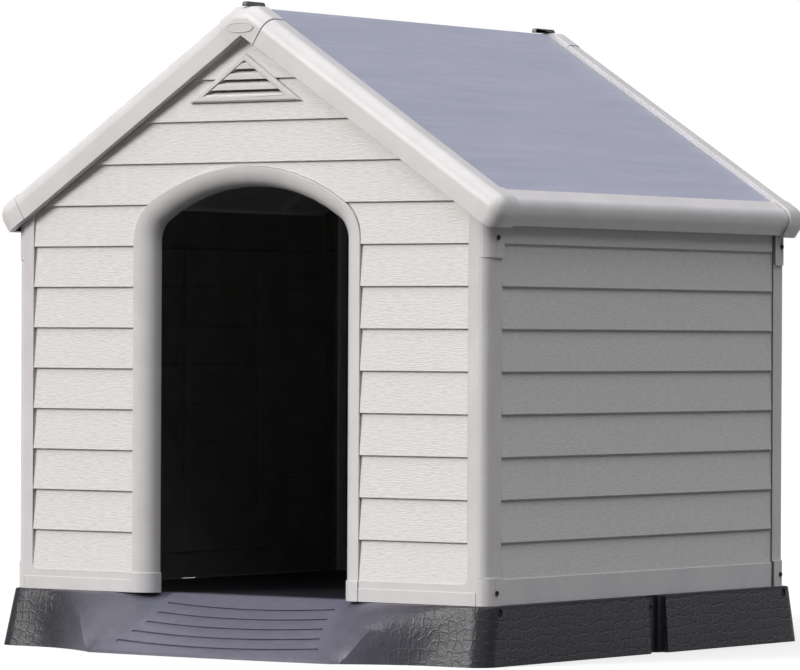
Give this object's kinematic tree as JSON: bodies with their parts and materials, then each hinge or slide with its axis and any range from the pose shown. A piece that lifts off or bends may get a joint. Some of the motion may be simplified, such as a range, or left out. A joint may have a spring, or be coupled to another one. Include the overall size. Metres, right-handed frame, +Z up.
{
  "type": "dog house",
  "caption": "Flat-pack plastic dog house with lap-siding walls, corner posts, an arched doorway, a vented gable roof and a raised base with a grooved ramp.",
  "frame": {"origin": "on the ground under the middle of the whole house, ramp included", "axes": "+Z up, the doorway and the ramp face -Y, +X to the right of someone looking at the doorway"},
  "size_m": [0.9548, 0.974, 0.9913],
  "materials": {
    "wall_plastic": "moulded wood-grain texture, satin",
    "trim_plastic": "smooth satin moulding",
    "roof_plastic": "fine streaks along the ridge, satin",
    "base_plastic": "leather-grained and cross-hatched, satin",
    "clip_plastic": "smooth satin moulding",
    "screw_steel": "black coated"
  },
  "bodies": {
    "root": {"front_wall": "wall_plastic", "back_wall": "wall_plastic", "right_wall": "wall_plastic", "left_wall": "wall_plastic", "door_surround": "trim_plastic", "right_roof_frame": "trim_plastic", "left_roof_frame": "trim_plastic", "right_roof_sheet": "roof_plastic", "left_roof_sheet": "roof_plastic", "front_vent": "trim_plastic", "back_vent": "trim_plastic", "front_apex_cap": "trim_plastic", "front_right_rake": "trim_plastic", "front_right_elbow": "trim_plastic", "front_left_rake": "trim_plastic", "front_left_elbow": "trim_plastic", "back_apex_cap": "trim_plastic", "back_right_rake": "trim_plastic", "back_right_elbow": "trim_plastic", "back_left_rake": "trim_plastic", "back_left_elbow": "trim_plastic", "front_ridge_clip": "clip_plastic", "back_ridge_clip": "clip_plastic", "base_front": "base_plastic", "base_rear": "base_plastic", "front_right_low_screw": "screw_steel", "front_right_high_screw": "screw_steel", "front_right_base_screw": "screw_steel", "front_left_low_screw": "screw_steel", "front_left_high_screw": "screw_steel", "front_left_base_screw": "screw_steel", "back_right_low_screw": "screw_steel", "back_right_high_screw": "screw_steel", "back_right_base_screw": "screw_steel", "back_left_low_screw": "screw_steel", "back_left_high_screw": "screw_steel", "back_left_base_screw": "screw_steel", "right_joint_screw": "screw_steel", "left_joint_screw": "screw_steel"}
  },
  "joints": []
}
